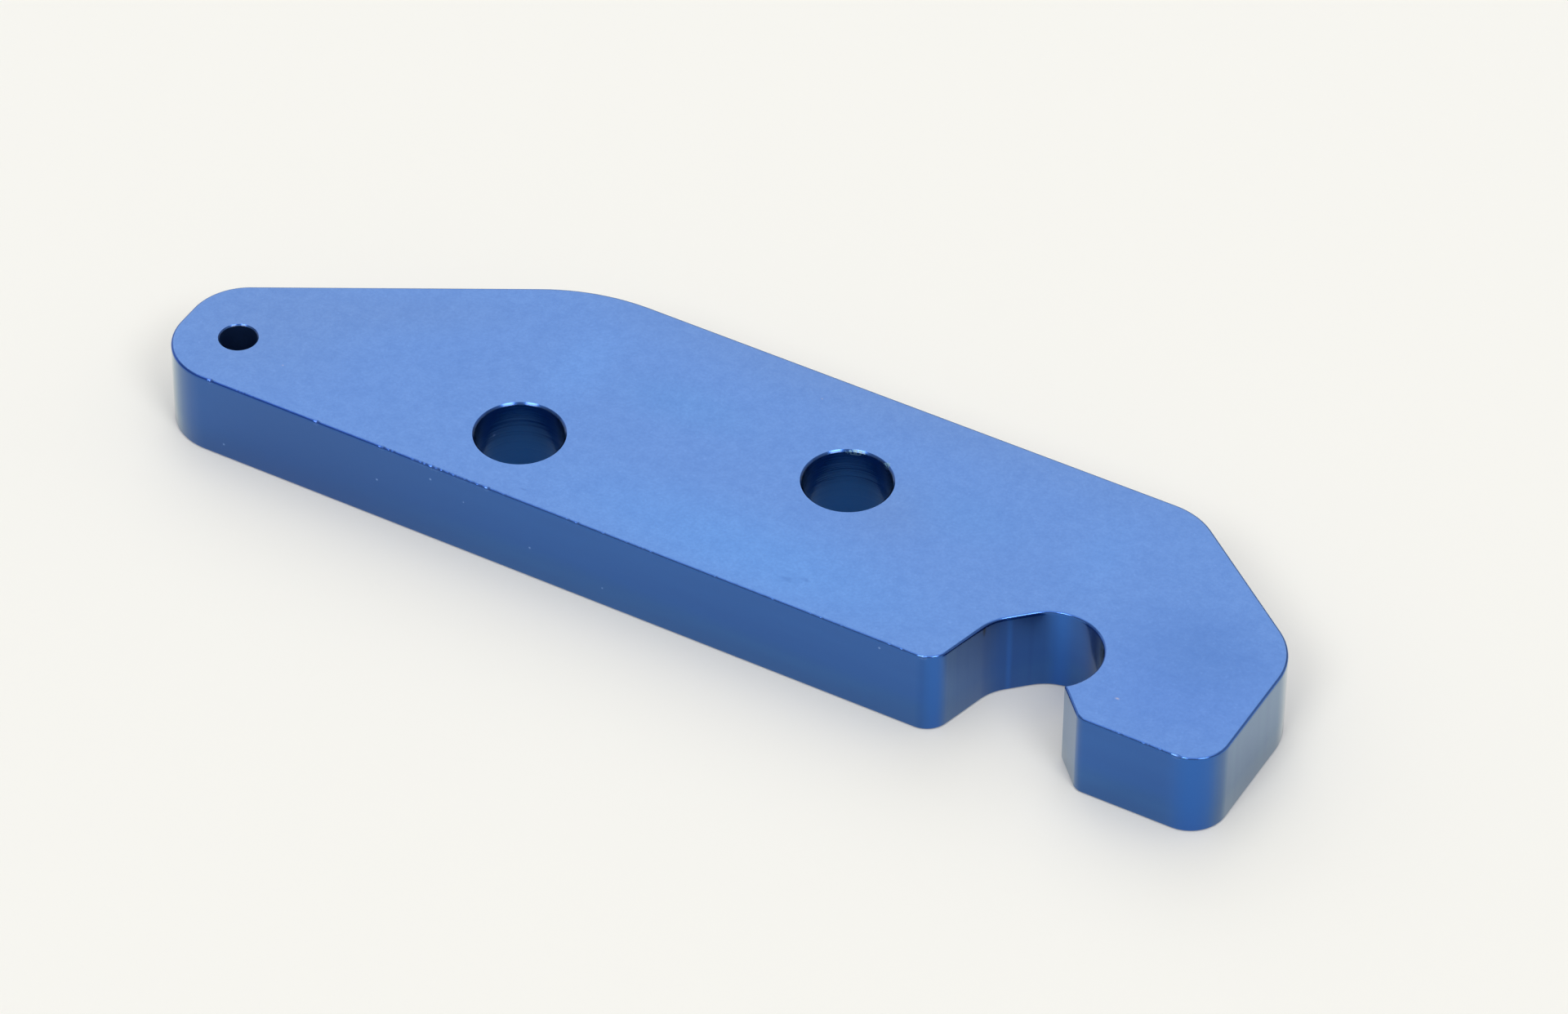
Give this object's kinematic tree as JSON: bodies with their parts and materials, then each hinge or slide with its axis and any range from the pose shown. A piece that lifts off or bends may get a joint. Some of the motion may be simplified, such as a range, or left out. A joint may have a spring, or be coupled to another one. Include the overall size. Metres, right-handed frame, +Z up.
{
  "type": "hooked flange plate",
  "caption": "Flat blue-anodised aluminium flange plate with sloping corners, an open round-seated hook at one end and bores square to its faces.",
  "frame": {"origin": "centre of the plate's bounding rectangle, on its lower face", "axes": "+X along the plate towards its hooked end, +Y from the straight front edge towards the sloping back edge, +Z up through the plate's thickness"},
  "size_m": [0.1864, 0.0494, 0.015],
  "materials": {
    "blue_anodised": "satin blue anodised, light edge breaks"
  },
  "bodies": {
    "root": {"flange_plate": "blue_anodised"}
  },
  "joints": []
}
